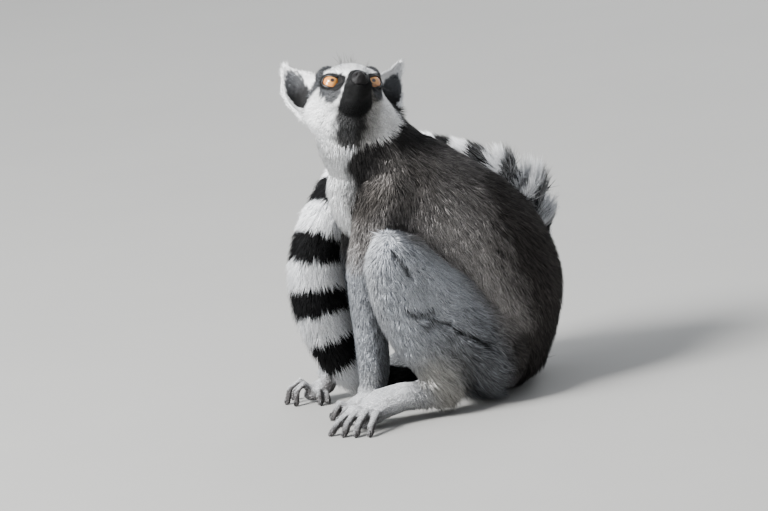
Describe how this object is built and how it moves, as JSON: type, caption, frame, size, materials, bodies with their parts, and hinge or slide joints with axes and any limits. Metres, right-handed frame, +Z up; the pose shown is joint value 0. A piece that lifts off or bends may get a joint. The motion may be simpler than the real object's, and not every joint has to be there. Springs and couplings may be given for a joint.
{
  "type": "ring-tailed lemur",
  "caption": "Life-size still model of a sitting ring-tailed lemur that looks up, with its banded tail over its far shoulder.",
  "frame": {"origin": "centre of the base of the whole model's box, on the floor plane", "axes": "+Z up; the body faces -X with its left side to -Y, and the face is turned towards -Y"},
  "size_m": [0.2758, 0.2452, 0.3239],
  "materials": {
    "coat_back": "dense brown-grey fur",
    "coat_limbs": "short pale grey fur",
    "coat_white": "white fur",
    "coat_black": "black fur",
    "ear_skin": "thin skin with short pale fur",
    "nose_leather": "moist black skin",
    "eye_amber": "glossy amber eye",
    "paws": "short pale fur over dark skin"
  },
  "bodies": {
    "root": {"ear_left": "ear_skin", "ear_right": "ear_skin", "eye_left": "eye_amber", "eye_right": "eye_amber", "foot_left": "paws", "foot_right": "paws", "forearm_left": "coat_limbs", "forearm_right": "coat_limbs", "hand_left": "paws", "hand_right": "paws", "head": "coat_white", "neck": "coat_white", "nose": "nose_leather", "shin_left": "coat_limbs", "shin_right": "coat_limbs", "tail_01_white": "coat_white", "tail_02_black": "coat_black", "tail_03_white": "coat_white", "tail_04_black": "coat_black", "tail_05_white": "coat_white", "tail_06_black": "coat_black", "tail_07_white": "coat_white", "tail_08_black": "coat_black", "tail_09_white": "coat_white", "tail_10_black": "coat_black", "tail_11_white": "coat_white", "tail_12_black": "coat_black", "tail_13_white": "coat_white", "tail_14_black": "coat_black", "tail_15_white": "coat_white", "tail_16_black": "coat_black", "tail_17_white": "coat_white", "tail_18_black": "coat_black", "tail_19_white": "coat_white", "tail_20_black": "coat_black", "tail_21_white": "coat_white", "tail_22_black": "coat_black", "tail_23_white": "coat_white", "tail_24_black": "coat_black", "tail_25_white": "coat_white", "tail_26_black": "coat_black", "tail_27_white": "coat_white", "tail_28_black": "coat_black", "tail_29_white": "coat_white", "tail_30_black": "coat_black", "tail_31_white": "coat_white", "tail_32_black": "coat_black", "thigh_left": "coat_limbs", "thigh_right": "coat_limbs", "torso": "coat_back", "upper_arm_left": "coat_back", "upper_arm_right": "coat_back"}
  },
  "joints": []
}
